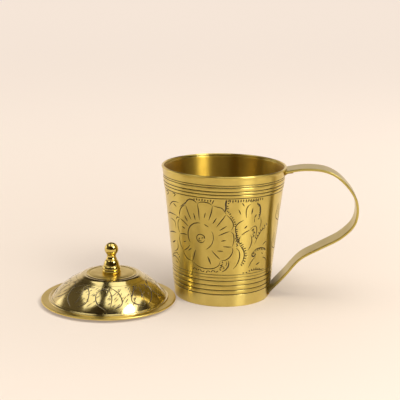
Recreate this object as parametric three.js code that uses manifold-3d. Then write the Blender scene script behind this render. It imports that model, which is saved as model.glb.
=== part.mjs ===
// A lidded brass drinking mug: a tapered turned cup with a soldered base plate and a bent strap handle,
// and a loose domed lid with a turned knob, which lies on the table beside the cup.
// Units are millimetres, +Z is up, and the cup stands on z = 0 with its axis on the origin.
// The strap handle leaves the cup along +X.

import * as THREE from "three";
import { mergeVertices } from "three/addons/utils/BufferGeometryUtils.js";
import Module from "manifold-3d";

const wasm = await Module();
wasm.setup();

// ---------- driving dimensions ----------

const ROUND_SEGMENTS = 48; // facets round the cup and the lid
const SMALL_SEGMENTS = 24; // facets round the knob and its fixings
const SOLDER_GAP = 0.15; // the capillary gap that the solder fills between two brass pieces

// Cup
const CUP_HEIGHT = 90;
const RIM_RADIUS = 42;
const FOOT_RADIUS = 32.5;
const CUP_WALL = 1.5;
const WALL_BOW = 0.4; // how far the wall hollows in from a straight taper, at half height
const LIP_HEIGHT = 1.2;
const LIP_PROUD = 0.3; // the rounded lip stands this far out of the wall
const FOOT_CHAMFER = 0.3;
const GROOVE_WIDTH = 0.8;
const GROOVE_DEPTH = 0.35;
const TOP_GROOVE_DROPS = [6.6, 10.1, 12.2, 14.5]; // groove centres, below the rim
const FOOT_GROOVE_RISES = [8.7, 11.8, 15.1, 18.4, 20.9]; // groove centres, above the table
const PLAIN_WALL_STEP = 14; // spacing of the profile points on the plain stretches

// Base plate
const BASE_THICKNESS = 2;
const BASE_SOLDER_LEG = 1.2; // the solder fillet inside the corner

// Strap handle
const STRAP_WIDTH = 18;
const STRAP_THICKNESS = 1.6;
const STRAP_STEPS = 44;
const STRAP_SINK = 2.2; // how far the raw ends run into the wall before they are cut to it
const STRAP_TOP_DROP = 2.7; // where the strap meets the cup, below the rim
const STRAP_FOOT_RISE = 4.2; // and above the table
// The strap's middle line: how far it stands out from the wall, and how far below the rim
const STRAP_UPPER = [
  [12.6, 0.5],
  [26.4, 1.5],
  [37.0, 6.7],
  [49.6, 20.9],
];
// and how far it stands out from the wall, and how high above the table
const STRAP_LOWER = [
  [51.4, 54.4],
  [44.4, 44.3],
  [30.4, 35.4],
  [18.0, 27.5],
  [8.9, 15.4],
];
const TOP_SOLDER_DROP = 1.6; // the solder fillet under the strap's top end runs this far down the wall
const TOP_SOLDER_REACH = 5; // and this far out along the strap
const FOOT_SOLDER_DROP = 2.4;
const FOOT_SOLDER_REACH = 2.2;
const HANDLE_SOLDER_INSET = 0.5; // both fillets stop this far short of the strap's edges

// Lid, measured from the table that it lies on
const LID_OVERHANG = 3.1; // the brim reaches this far past the cup's rim
const LID_THICKNESS = 1.3;
const SPIGOT_HEIGHT = 1.6; // the locating ring under the brim
const SPIGOT_WALL = 1.5;
const SPIGOT_CLEARANCE = 0.6; // to the inside of the cup's mouth, all round
const SPIGOT_SOLDER_LEG = 0.9;
const BRIM_EDGE = 0.45; // half the thickness of the rounded edge that shows
const DOME_FOOT_INSET = 1.2; // from the outside of the spigot to the foot of the dome
const FOOT_BEAD_WIDTH = 1.5; // the half-round bead where the dome meets the brim
const FOOT_BEAD_RISE = 1;
const DOME_RISE = 17; // from the brim's top to the disc
const DOME_BULGE = 1.5; // how far the dome's side swells out of a straight cone
const DOME_STEPS = 7;
const SHOULDER_RADIUS = 21;
const SHOULDER_DROP = 1.5;
const DISC_RADIUS = 17.6;
const DISC_GROOVE_RADIUS = 14.7;
const CROWN_OFFSET = 2; // the hand-raised dome leans: its disc and knob sit this far towards +X
const LID_BEARING = 199.7; // the lid lies beside the cup, this many degrees round from the handle
const LID_STANDOFF = 1.75; // between the lid's edge and the cup's wall

// Knob, measured up from the disc
const KNOB_BALL_RADIUS = 4.6;
const KNOB_BALL_HEIGHT = 16;
const KNOB_BALL_STEPS = 9;
// The bell under the ball, as [radius, height]: foot bead, swell, two steps, cove and neck
const KNOB_BELL = [
  [5.9, 0],
  [6.3, 0.6],
  [6.3, 1.9],
  [6.0, 2.4],
  [6.2, 3.2],
  [5.8, 4.6],
  [5.3, 5.0],
  [5.2, 5.9],
  [4.8, 7.2],
  [4.1, 8.5],
  [3.5, 8.9],
  [3.6, 9.7],
  [3.3, 10.5],
  [3.0, 11.2],
];

// Screw and washer that hold the knob from inside the lid
const SCREW_RADIUS = 1.5;
const SCREW_CLEARANCE = 0.2;
const SCREW_DEPTH = 5; // into the knob
const SCREW_HEAD_RADIUS = 2.8;
const SCREW_HEAD_HEIGHT = 1.8;
const WASHER_RADIUS = 4.2;
const WASHER_THICKNESS = 0.8;

// ---------- materials ----------

const brass = (color, roughness) => new THREE.MeshStandardMaterial({ color, roughness, metalness: 1 });
const turnedBrass = brass(0xd9b860, 0.18);
const stripBrass = brass(0xd2b862, 0.28);
const solder = brass(0xc9a445, 0.35);
const castBrass = brass(0xdcb850, 0.12);

// ---------- shared tools ----------

const cup = new THREE.Group();
const lid = new THREE.Group();

function place(group, name, geometry, material) {
  const mesh = new THREE.Mesh(geometry, material);
  mesh.name = name;
  group.add(mesh);
}

// A profile of [radius, height] points turned round the Z axis.
function turned(profile, segments) {
  const points = profile.map(([radius, height]) => new THREE.Vector2(radius, height));
  return new THREE.LatheGeometry(points, segments).rotateX(Math.PI / 2);
}

// The same for a ring, whose profile closes on itself.
const turnedRing = (profile, segments) => turned([...profile, profile[0]], segments);

// Points of an arc in the profile plane, with angles in degrees from the outward direction.
function arc(radius, height, size, from, to, steps) {
  return Array.from({ length: steps + 1 }, (_, i) => {
    const angle = THREE.MathUtils.degToRad(from + ((to - from) * i) / steps);
    return [radius + size * Math.cos(angle), height + size * Math.sin(angle)];
  });
}

// An [x, z] outline given a width along Y, centred on the XZ plane.
function crossBar(outline, width) {
  const shape = new THREE.Shape(outline.map(([x, z]) => new THREE.Vector2(x, z)));
  const bar = new THREE.ExtrudeGeometry(shape, { depth: width, bevelEnabled: false });
  return bar.rotateX(Math.PI / 2).translate(0, width / 2, 0);
}

function solidOf(geometry) {
  const bare = geometry.clone().deleteAttribute("normal").deleteAttribute("uv");
  const merged = mergeVertices(bare, 1e-4);
  const vertProperties = merged.attributes.position.array;
  return new wasm.Manifold(new wasm.Mesh({ numProp: 3, vertProperties, triVerts: new Uint32Array(merged.index.array) }));
}

function geometryOf(solid) {
  const { vertProperties, triVerts } = solid.getMesh();
  const geometry = new THREE.BufferGeometry();
  geometry.setAttribute("position", new THREE.BufferAttribute(vertProperties, 3));
  geometry.setIndex(new THREE.BufferAttribute(triVerts, 1));
  geometry.computeVertexNormals();
  return geometry;
}

// ---------- cup ----------

// Outside radius of the plain wall at a height: a straight taper, bowed in a little.
function wallRadius(height) {
  const share = height / CUP_HEIGHT;
  return FOOT_RADIUS + (RIM_RADIUS - FOOT_RADIUS) * share - 4 * WALL_BOW * share * (1 - share);
}

const mouthRadius = RIM_RADIUS - CUP_WALL;

// Heights that cut a plain stretch of wall into equal steps, its ends left out.
function stepsBetween(low, high) {
  const count = Math.max(1, Math.round((high - low) / PLAIN_WALL_STEP));
  return Array.from({ length: count - 1 }, (_, i) => low + ((high - low) * (i + 1)) / count);
}

function cupWallProfile() {
  const grooves = [...FOOT_GROOVE_RISES, ...TOP_GROOVE_DROPS.map((drop) => CUP_HEIGHT - drop).reverse()];
  const outside = [
    [wallRadius(0) - FOOT_CHAMFER, 0],
    [wallRadius(FOOT_CHAMFER), FOOT_CHAMFER],
  ];
  let last = FOOT_CHAMFER;
  for (const height of grooves) {
    stepsBetween(last, height - GROOVE_WIDTH / 2).forEach((z) => outside.push([wallRadius(z), z]));
    outside.push([wallRadius(height - GROOVE_WIDTH / 2), height - GROOVE_WIDTH / 2]);
    outside.push([wallRadius(height) - GROOVE_DEPTH, height]);
    outside.push([wallRadius(height + GROOVE_WIDTH / 2), height + GROOVE_WIDTH / 2]);
    last = height + GROOVE_WIDTH / 2;
  }
  const lipStart = CUP_HEIGHT - LIP_HEIGHT;
  outside.push([wallRadius(lipStart), lipStart]);
  const lipRadius = (CUP_WALL + LIP_PROUD) / 2;
  const lipTop = arc(mouthRadius + lipRadius, CUP_HEIGHT - lipRadius, lipRadius, 0, 180, 6);
  const insideHeights = stepsBetween(0, CUP_HEIGHT - lipRadius).reverse();
  const inside = insideHeights.map((z) => [wallRadius(z) - CUP_WALL, z]);
  return [...outside, ...lipTop, ...inside, [wallRadius(0) - CUP_WALL, 0]];
}

place(cup, "cup_wall", turnedRing(cupWallProfile(), ROUND_SEGMENTS), turnedBrass);

// The base plate is a disc let into the foot, flush with it underneath.
const plateEdge = (height) => wallRadius(height) - CUP_WALL - SOLDER_GAP;
const basePlateProfile = [
  [0, 0],
  [plateEdge(0), 0],
  [plateEdge(BASE_THICKNESS), BASE_THICKNESS],
  [0, BASE_THICKNESS],
];
place(cup, "cup_base", turned(basePlateProfile, ROUND_SEGMENTS), turnedBrass);

// Solder run round the inside corner, on the plate and against the wall.
const filletLow = BASE_THICKNESS + SOLDER_GAP;
const baseSolderProfile = [
  [plateEdge(filletLow) - BASE_SOLDER_LEG, filletLow],
  [plateEdge(filletLow), filletLow],
  [plateEdge(filletLow + BASE_SOLDER_LEG), filletLow + BASE_SOLDER_LEG],
  [plateEdge(filletLow) - BASE_SOLDER_LEG / 3, filletLow + BASE_SOLDER_LEG / 3],
];
place(cup, "base_solder", turnedRing(baseSolderProfile, ROUND_SEGMENTS), solder);

// ---------- handle ----------

// The strap's middle line in the XZ plane, from inside the wall at the rim to inside it at the foot.
function strapLine() {
  const topHeight = CUP_HEIGHT - STRAP_TOP_DROP;
  const ends = [
    [wallRadius(topHeight) - STRAP_SINK, topHeight],
    [wallRadius(STRAP_FOOT_RISE) - STRAP_SINK, STRAP_FOOT_RISE - STRAP_SINK],
  ];
  const upper = STRAP_UPPER.map(([out, drop]) => [wallRadius(CUP_HEIGHT - drop) + out, CUP_HEIGHT - drop]);
  const lower = STRAP_LOWER.map(([out, rise]) => [wallRadius(rise) + out, rise]);
  const points = [ends[0], ...upper, ...lower, ends[1]].map(([x, z]) => new THREE.Vector3(x, 0, z));
  return new THREE.CatmullRomCurve3(points, false, "centripetal");
}

// Outline of the strap from the side: the middle line, offset to each face.
function strapOutline(thickness) {
  const line = strapLine();
  const sides = [-1, 1].map((side) =>
    Array.from({ length: STRAP_STEPS + 1 }, (_, i) => {
      const point = line.getPointAt(i / STRAP_STEPS);
      const along = line.getTangentAt(i / STRAP_STEPS);
      return [point.x - (side * along.z * thickness) / 2, point.z + (side * along.x * thickness) / 2];
    }),
  );
  return [...sides[0], ...sides[1].reverse()];
}

// Everything inside the wall's outside face, grown by the solder gap. The strap and its solder are cut to it.
function wallEnvelope() {
  const heights = [0, ...stepsBetween(0, CUP_HEIGHT), CUP_HEIGHT];
  const side = heights.map((z) => [wallRadius(z) + SOLDER_GAP, z]);
  const below = [wallRadius(0) + SOLDER_GAP, -CUP_WALL];
  const above = [wallRadius(CUP_HEIGHT) + LIP_PROUD + SOLDER_GAP, CUP_HEIGHT + CUP_WALL];
  return solidOf(turned([[0, below[1]], below, ...side, above, [0, above[1]]], ROUND_SEGMENTS));
}

const envelope = wallEnvelope();
const strap = solidOf(crossBar(strapOutline(STRAP_THICKNESS), STRAP_WIDTH)).subtract(envelope);
place(cup, "handle_strap", geometryOf(strap), stripBrass);

// A solder fillet under one end of the strap, its corner where the strap's underside meets the wall.
// lean is the height that the strap's underside gains for each millimetre out from the wall.
function handleSolder(cornerHeight, lean, drop, reach) {
  const wall = wallRadius(cornerHeight);
  const outline = [
    [wall - CUP_WALL, cornerHeight - lean * CUP_WALL],
    [wall - CUP_WALL, cornerHeight - drop],
    [wall + reach / 8, cornerHeight - drop],
    [wall + reach / 3, cornerHeight - drop / 2 + (lean * reach) / 6],
    [wall + reach, cornerHeight + lean * reach],
  ];
  const bar = solidOf(crossBar(outline, STRAP_WIDTH - 2 * HANDLE_SOLDER_INSET));
  const spacedStrap = solidOf(crossBar(strapOutline(STRAP_THICKNESS + 2 * SOLDER_GAP), STRAP_WIDTH + 1));
  const pieces = bar.subtract(envelope).subtract(spacedStrap).decompose();
  return pieces.reduce((largest, piece) => (piece.volume() > largest.volume() ? piece : largest));
}

const topCorner = CUP_HEIGHT - STRAP_TOP_DROP - STRAP_THICKNESS / 2;
const topSolder = handleSolder(topCorner, 0, TOP_SOLDER_DROP, TOP_SOLDER_REACH);
place(cup, "handle_top_solder", geometryOf(topSolder), solder);
const footCorner = STRAP_FOOT_RISE - STRAP_THICKNESS / 2;
const footSolder = handleSolder(footCorner, 1, FOOT_SOLDER_DROP, FOOT_SOLDER_REACH);
place(cup, "handle_foot_solder", geometryOf(footSolder), solder);

// ---------- lid ----------

const lidRadius = RIM_RADIUS + LID_OVERHANG;
const brimUnder = SPIGOT_HEIGHT;
const brimTop = brimUnder + LID_THICKNESS;
const discTop = brimTop + DOME_RISE;
const spigotRadius = mouthRadius - SPIGOT_CLEARANCE;
const domeFoot = spigotRadius - DOME_FOOT_INSET;
const shoulderTop = discTop - SHOULDER_DROP;

// A point on the dome's side: a straight cone from foot to shoulder, swollen by a half sine.
function domeSide(share, inset) {
  const run = domeFoot - SHOULDER_RADIUS;
  const rise = shoulderTop - brimTop;
  const length = Math.hypot(run, rise);
  const swell = DOME_BULGE * Math.sin(Math.PI * share) - inset;
  return [domeFoot - run * share + (swell * rise) / length, brimTop + rise * share + (swell * run) / length];
}

const domeShares = Array.from({ length: DOME_STEPS - 1 }, (_, i) => (i + 1) / DOME_STEPS);

function lidDomeProfile() {
  const hole = SCREW_RADIUS + SCREW_CLEARANCE;
  const beadOuter = domeFoot + FOOT_BEAD_WIDTH;
  const beadMiddle = domeFoot + FOOT_BEAD_WIDTH / 2;
  return [
    [hole, discTop - LID_THICKNESS],
    [DISC_RADIUS - LID_THICKNESS / 2, discTop - LID_THICKNESS],
    ...domeShares.map((share) => domeSide(share, LID_THICKNESS)).reverse(),
    [domeFoot - LID_THICKNESS, brimUnder],
    [lidRadius - BRIM_EDGE, brimUnder],
    [lidRadius, brimUnder + BRIM_EDGE],
    [lidRadius, brimTop - BRIM_EDGE],
    [lidRadius - BRIM_EDGE, brimTop],
    [beadOuter, brimTop],
    [beadMiddle, brimTop + FOOT_BEAD_RISE],
    [domeFoot - FOOT_BEAD_WIDTH / 4, brimTop + FOOT_BEAD_RISE],
    ...domeShares.map((share) => domeSide(share, 0)),
    [SHOULDER_RADIUS, shoulderTop],
    [DISC_RADIUS, discTop],
    [DISC_GROOVE_RADIUS + GROOVE_WIDTH / 2, discTop],
    [DISC_GROOVE_RADIUS, discTop - GROOVE_DEPTH],
    [DISC_GROOVE_RADIUS - GROOVE_WIDTH / 2, discTop],
    [hole, discTop],
  ];
}

// The crown leans towards +X: points slide over in proportion to their height in the dome.
function leanCrown(geometry) {
  const position = geometry.getAttribute("position");
  for (let i = 0; i < position.count; i++) {
    const share = THREE.MathUtils.clamp((position.getZ(i) - brimTop) / (shoulderTop - brimTop), 0, 1);
    position.setX(i, position.getX(i) + CROWN_OFFSET * share);
  }
  return geometry;
}

place(lid, "lid_dome", leanCrown(turnedRing(lidDomeProfile(), ROUND_SEGMENTS)), turnedBrass);

const spigotProfile = [
  [spigotRadius - SPIGOT_WALL, 0],
  [spigotRadius, 0],
  [spigotRadius, brimUnder - SOLDER_GAP],
  [spigotRadius - SPIGOT_WALL, brimUnder - SOLDER_GAP],
];
place(lid, "lid_spigot_ring", turnedRing(spigotProfile, ROUND_SEGMENTS), turnedBrass);

const spigotSolderProfile = [
  [spigotRadius + SOLDER_GAP, brimUnder - SOLDER_GAP - SPIGOT_SOLDER_LEG],
  [spigotRadius + SPIGOT_SOLDER_LEG, brimUnder - SOLDER_GAP],
  [spigotRadius + SOLDER_GAP, brimUnder - SOLDER_GAP],
];
place(lid, "lid_spigot_solder", turnedRing(spigotSolderProfile, ROUND_SEGMENTS), solder);

// ---------- knob and its fixings ----------

// The bell runs up into the ball, which starts where it is as wide as the neck.
function knobProfile() {
  const neckRadius = KNOB_BELL.at(-1)[0];
  const ballStart = -THREE.MathUtils.radToDeg(Math.acos(neckRadius / KNOB_BALL_RADIUS));
  const bore = SCREW_RADIUS + SCREW_CLEARANCE;
  const boreTop = SCREW_DEPTH + SCREW_CLEARANCE;
  return [
    [0, boreTop],
    [bore, boreTop],
    [bore, 0],
    ...KNOB_BELL,
    ...arc(0, KNOB_BALL_HEIGHT, KNOB_BALL_RADIUS, ballStart, 90, KNOB_BALL_STEPS).slice(0, -1),
    [0, KNOB_BALL_HEIGHT + KNOB_BALL_RADIUS],
  ];
}

const knobGroup = new THREE.Group();
knobGroup.position.set(CROWN_OFFSET, 0, discTop + SOLDER_GAP);
place(knobGroup, "knob", turned(knobProfile(), SMALL_SEGMENTS), castBrass);

const washerTop = -SOLDER_GAP - LID_THICKNESS - SOLDER_GAP;
const washerUnder = washerTop - WASHER_THICKNESS;
const washerProfile = [
  [SCREW_RADIUS + SCREW_CLEARANCE, washerUnder],
  [WASHER_RADIUS, washerUnder],
  [WASHER_RADIUS, washerTop],
  [SCREW_RADIUS + SCREW_CLEARANCE, washerTop],
];
place(knobGroup, "knob_washer", turnedRing(washerProfile, SMALL_SEGMENTS), stripBrass);

const headTop = washerUnder - SOLDER_GAP;
const headUnder = headTop - SCREW_HEAD_HEIGHT;
const screwProfile = [
  [0, headUnder],
  [SCREW_HEAD_RADIUS - 0.6, headUnder],
  [SCREW_HEAD_RADIUS, headUnder + 0.8],
  [SCREW_HEAD_RADIUS, headTop],
  [SCREW_RADIUS, headTop],
  [SCREW_RADIUS, SCREW_DEPTH],
  [0, SCREW_DEPTH],
];
place(knobGroup, "knob_screw", turned(screwProfile, SMALL_SEGMENTS), stripBrass);
lid.add(knobGroup);
const lidDistance = wallRadius(brimTop) + LID_STANDOFF + lidRadius;
const lidBearing = THREE.MathUtils.degToRad(LID_BEARING);
lid.position.set(lidDistance * Math.cos(lidBearing), lidDistance * Math.sin(lidBearing), 0);

const mug = new THREE.Group();
mug.add(cup, lid);
export default mug;
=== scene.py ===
import math

import bpy
import numpy as np
from mathutils import Matrix, Vector
from mathutils.geometry import delaunay_2d_cdt


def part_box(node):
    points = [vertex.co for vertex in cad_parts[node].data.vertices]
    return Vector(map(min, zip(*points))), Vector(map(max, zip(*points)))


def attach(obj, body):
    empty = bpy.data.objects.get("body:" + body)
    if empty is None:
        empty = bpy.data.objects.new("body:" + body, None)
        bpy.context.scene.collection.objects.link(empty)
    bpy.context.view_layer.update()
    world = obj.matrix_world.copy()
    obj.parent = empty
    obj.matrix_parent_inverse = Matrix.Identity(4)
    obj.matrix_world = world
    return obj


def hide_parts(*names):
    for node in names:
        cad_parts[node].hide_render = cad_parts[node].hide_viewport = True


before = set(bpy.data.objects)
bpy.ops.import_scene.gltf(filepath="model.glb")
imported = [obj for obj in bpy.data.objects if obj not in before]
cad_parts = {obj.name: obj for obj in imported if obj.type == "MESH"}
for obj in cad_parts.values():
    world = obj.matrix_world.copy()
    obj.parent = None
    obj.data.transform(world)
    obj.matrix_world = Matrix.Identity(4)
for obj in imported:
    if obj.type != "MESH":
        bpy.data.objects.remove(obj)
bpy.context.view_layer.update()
mm = 0.001

# ------------------
# The camera, the table and the studio: a pale cream paper floor that runs off to a bright horizon, two
# wide overhead softboxes with a dark gap between them, a bounce off the ceiling that lights the paper and
# isn't seen in the metal, one small bright softbox high at the front right and a low one far to the left.
# ------------------


def linear(code):
    """An sRGB hex colour as linear red, green, blue, alpha: ((c + 0.055) / 1.055) ** 2.4 above 0.04045."""
    parts = [int(code[i:i + 2], 16) / 255 for i in (1, 3, 5)]
    return tuple(((c + 0.055) / 1.055) ** 2.4 if c > 0.04045 else c / 12.92 for c in parts) + (1.0,)


def add(tree, kind, inputs=None, **settings):
    """Adds one shader node. Settings are its properties; an input is a value or another node's output."""
    made = tree.nodes.new(kind)
    for name, value in settings.items():
        setattr(made, name, value)
    for name, value in (inputs or {}).items():
        if isinstance(value, bpy.types.NodeSocket):
            tree.links.new(value, made.inputs[name])
        else:
            made.inputs[name].default_value = value
    return made


def blend(tree, share, first, second):
    """The colour that goes in a straight line from first to second as share goes from 0 to 1."""
    return add(tree, "ShaderNodeMix", {0: share, 6: first, 7: second}, data_type="RGBA").outputs[2]


def new_material(name):
    """An empty node material: its tree, ready for the nodes of one finish."""
    made = bpy.data.materials.new(name)
    made.use_nodes = True
    made.node_tree.nodes.clear()
    return made, made.node_tree


camera_data = bpy.data.cameras.new("camera")
camera_data.lens = 91.8
camera_data.sensor_width = 36
camera = bpy.data.objects.new("camera", camera_data)
bpy.context.scene.collection.objects.link(camera)
camera_turn, camera_down, camera_roll = (math.radians(a) for a in (3.56, 13.15, 0.84))
camera.matrix_world = (
    Matrix.Translation((26 * mm, -675.5 * mm, 223 * mm))
    @ Matrix.Rotation(camera_turn, 4, "Z")
    @ Matrix.Rotation(math.pi / 2 - camera_down, 4, "X")
    @ Matrix.Rotation(camera_roll, 4, "Z")
)
camera_data.clip_end = 100
bpy.context.scene.camera = camera
bpy.context.scene.view_settings.view_transform = "Standard"

# Smooth matt paper that glows more the further off it lies: from glow_near to glow_far, by the exponential
# of fade_rate times the distance in metres. It gives soft shadows and a floor with no far edge.
glow_near = 0.19
glow_far = 0.85
fade_rate = -1.25
paper, tree = new_material("Cream seamless paper")
away = add(
    tree, "ShaderNodeVectorMath", {0: add(tree, "ShaderNodeTexCoord").outputs["Object"]}, operation="LENGTH"
)
fade = add(tree, "ShaderNodeMath", {0: away.outputs["Value"], 1: fade_rate}, operation="MULTIPLY")
near = add(tree, "ShaderNodeMath", {0: fade.outputs[0]}, operation="EXPONENT")
far = add(tree, "ShaderNodeMapRange", {0: near.outputs[0], 1: 1.0, 2: 0.0, 3: glow_near, 4: glow_far})
diffuse = add(tree, "ShaderNodeBsdfDiffuse", {"Color": linear("#CBBFB2")})
glow = add(tree, "ShaderNodeEmission", {"Color": linear("#FFF0E3"), "Strength": far.outputs[0]})
both = add(tree, "ShaderNodeAddShader", {0: diffuse.outputs[0], 1: glow.outputs[0]})
add(tree, "ShaderNodeOutputMaterial", {"Surface": both.outputs[0]})
bpy.ops.mesh.primitive_plane_add(size=40)
floor = bpy.context.object
floor.name = "floor"
floor.data.materials.append(paper)

# The room round the set is dark, paler to the left, with a pale backdrop low down behind the object. The
# metal shows it as brown shade between the softboxes.
world = bpy.data.worlds.new("studio")
bpy.context.scene.world = world
world.use_nodes = True
tree = world.node_tree
tree.nodes.clear()
way = add(tree, "ShaderNodeSeparateXYZ", {0: add(tree, "ShaderNodeTexCoord").outputs["Generated"]})
low = add(tree, "ShaderNodeMapRange", {0: way.outputs["Z"], 1: 0.35, 2: 0.50, 3: 1.0, 4: 0.0})
behind = add(tree, "ShaderNodeMapRange", {0: way.outputs["Y"], 1: -0.1, 2: 0.5})
backdrop = add(tree, "ShaderNodeMath", {0: low.outputs[0], 1: behind.outputs[0]}, operation="MULTIPLY")
leftward = add(tree, "ShaderNodeMapRange", {0: way.outputs["X"], 1: -0.25, 2: -0.75, 3: 0.0, 4: 1.0})
grey = blend(tree, leftward.outputs[0], linear("#34291A"), linear("#675D4D"))
sky = blend(tree, backdrop.outputs[0], grey, linear("#FBEBDD"))
room = add(tree, "ShaderNodeBackground", {"Color": sky, "Strength": 0.9})
add(tree, "ShaderNodeOutputWorld", {"Surface": room.outputs[0]})


def softbox(name, place, size, power, aim=(0, 0, 0.04), seen=True):
    """A rectangular area light at place, turned to face aim. Sizes are in metres. One that isn't seen lights
    the paper but leaves no reflection in the metal."""
    data = bpy.data.lights.new(name, "AREA")
    data.shape = "RECTANGLE"
    data.size, data.size_y = size
    data.energy = power
    data.color = (1.0, 0.97, 0.93)
    light = bpy.data.objects.new(name, data)
    light.location = place
    light.visible_glossy = seen
    light.rotation_euler = (Vector(aim) - Vector(place)).to_track_quat("-Z", "Y").to_euler()
    bpy.context.scene.collection.objects.link(light)


softbox("overhead_right", (0.52, -0.10, 1.05), (1.30, 1.05), 7.2, (0.52, -0.10, 0))
softbox("overhead_left", (-0.60, -0.10, 1.05), (0.52, 0.85), 2.1, (-0.60, -0.10, 0))
softbox("bounce_from_ceiling", (0.46, -0.10, 1.30), (1.9, 1.2), 7.0, (0.46, -0.10, 0), seen=False)
softbox("front_right", (0.74, -0.57, 0.84), (0.38, 0.42), 7.2)
softbox("far_left", (-1.20, 0.25, 0.30), (0.85, 0.5), 1.2)

# ------------------
# The cup wall: brass sheet turned on a lathe, with a rounded lip, a plain band, a double line and
# three beads under the rim, and two fine lines and three beads over a plain foot band.
# ------------------


def surface(name, grid, body, replaced, materials, poles=False, engraved=None):
    """A grid of points, rows x columns x 3, as a smooth mesh. Each row joins up into a ring. The last row
    joins the first, or with poles each end row shrinks to its middle point. An engraved panel takes the
    place of the quads after one row. The faces are turned so that the volume they enclose, the sum of every
    face's corner products, comes out positive."""
    rows, columns = grid.shape[:2]
    points = grid.reshape(-1, 3)
    last = rows - 1 if poles else rows
    kept = np.array([row for row in range(last) if not engraved or row != engraved["row"]])
    i, j = np.meshgrid(kept, np.arange(columns), indexing="ij")
    down, across = (i + 1) % rows, (j + 1) % columns
    corners = [i * columns + j, i * columns + across, down * columns + across, down * columns + j]
    quads = np.stack(corners, -1).reshape(-1, 4)
    a, b, c, d = (points[quads[:, k]] for k in range(4))
    volume = np.einsum("ij,ij->", a, np.cross(b, c)) + np.einsum("ij,ij->", a, np.cross(c, d))
    faces = quads.tolist()
    if poles:
        points = np.vstack([points, grid[0].mean(0), grid[-1].mean(0)])
        ring = np.arange(columns)
        top = np.stack([ring, np.full(columns, rows * columns), (ring + 1) % columns], -1)
        start = (rows - 1) * columns
        pole = np.full(columns, rows * columns + 1)
        foot = np.stack([ring + start, (ring + 1) % columns + start, pole], -1)
        faces += top.tolist() + foot.tolist()
    if volume < 0:
        faces = [face[::-1] for face in faces]
    if engraved:
        points = np.vstack([points, engraved["points"]])
        plain_corners = sum(len(face) for face in faces)
        faces += engraved["faces"].tolist()
    mesh = bpy.data.meshes.new(name)
    mesh.from_pydata(points.tolist(), [], faces)
    mesh.polygons.foreach_set("use_smooth", np.ones(len(mesh.polygons), bool))
    if engraved:
        shading = np.vstack([np.zeros((plain_corners, 3)), engraved["normals"].reshape(-1, 3)])
        mesh.normals_split_custom_set(shading.tolist())
    for material in materials:
        mesh.materials.append(material)
    made = bpy.data.objects.new(name, mesh)
    bpy.context.scene.collection.objects.link(made)
    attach(made, body)
    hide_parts(*replaced)
    return made


def turned(outline, steps):
    """An outline of [radius, height] rows carried round Z: angle a puts it at (r cos a, r sin a, z)."""
    angle = np.linspace(0, 2 * np.pi, steps, endpoint=False)
    r, z = outline[:, 0, None], outline[:, 1, None]
    return np.stack([r * np.cos(angle), r * np.sin(angle), z + 0 * angle], -1)


def soil_and_shade(piece, amount):
    """Stores how dark each point is to be, from 0 to 1, for the finish to darken: old polish and oxide in
    hollows, and painted shade.
    """
    held = piece.data.attributes.new("soil_and_shade", "FLOAT", "POINT")
    values = np.zeros(len(piece.data.vertices), np.float32)
    values[:len(amount)] = amount
    held.data.foreach_set("value", values)


def brass(
    name, colour, deep, roughness, satin, grain_axis, grain_mm, wear_mm=6.0, anisotropic=0.0, coat=0.35
):
    """Polished brass: a warm metal whose colour drifts in clouds to deep and its roughness to satin, as
    handling leaves it. It is dark and rough where each point's stored darkness says so: old polish and oxide
    in the cuts, and painted shade in the cuts, in corners and at the strap's foot. The tool's fine grooves
    lie across grain_axis, drawn coarser than real ones, a few hundredths of a millimetre apart, so that they
    show as a sheen and don't shimmer. An anisotropic brass is turned: its grooves run round Z and stretch
    each highlight upright. A thin clear lacquer, coat, whitens the strongest lights."""
    made, tree = new_material(name)
    place = add(tree, "ShaderNodeTexCoord").outputs["Object"]
    cloud = add(tree, "ShaderNodeTexNoise", {"Vector": place, "Scale": 1 / (wear_mm * mm), "Detail": 4.0})
    drift = blend(tree, cloud.outputs[0], linear(colour), linear(deep))
    # Darkened toward #3A2A0A where the stored darkness is high: old polish and oxide, and painted shade.
    dirt_and_shade = add(tree, "ShaderNodeAttribute", attribute_name="soil_and_shade")
    span = {0: dirt_and_shade.outputs["Fac"], 1: 0.1, 2: 0.55}
    held = add(tree, "ShaderNodeMapRange", span, interpolation_type="SMOOTHSTEP")
    stain_and_shade = blend(tree, held.outputs[0], drift, linear("#3A2A0A"))
    stretch = [0.02, 0.02, 0.02]
    stretch[grain_axis] = 1.0
    scale = [share / (grain_mm * mm) for share in stretch]
    lined = add(tree, "ShaderNodeMapping", {"Vector": place, "Scale": scale})
    grain = add(tree, "ShaderNodeTexNoise", {"Vector": lined.outputs[0], "Scale": 1.0, "Detail": 2.0})
    gloss = add(tree, "ShaderNodeMapRange", {0: cloud.outputs[0], 1: 0.3, 2: 0.7, 3: roughness, 4: satin})
    dulling = {0: held.outputs[0], 1: 0.45, 2: gloss.outputs[0]}
    rough = add(tree, "ShaderNodeMath", dulling, operation="MULTIPLY_ADD")
    bare = add(tree, "ShaderNodeMath", {0: 1.0, 1: held.outputs[0]}, operation="SUBTRACT")
    groove = {"Height": grain.outputs[0], "Distance": 0.003 * mm, "Strength": 0.3}
    relief = add(tree, "ShaderNodeBump", groove)
    shine = add(
        tree,
        "ShaderNodeBsdfPrincipled",
        {
            "Base Color": stain_and_shade,
            "Metallic": bare.outputs[0],
            "Roughness": rough.outputs[0],
            "Anisotropic": anisotropic,
            "Anisotropic Rotation": 0.25 if anisotropic else 0.0,
            "Coat Weight": coat,
            "Coat Roughness": 0.06,
            "Normal": relief.outputs[0],
        },
    )
    if anisotropic:
        around = add(tree, "ShaderNodeTangent", direction_type="RADIAL", axis="Z")
        tree.links.new(around.outputs[0], shine.inputs["Tangent"])
    add(tree, "ShaderNodeOutputMaterial", {"Surface": shine.outputs[0]})
    return made


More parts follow.
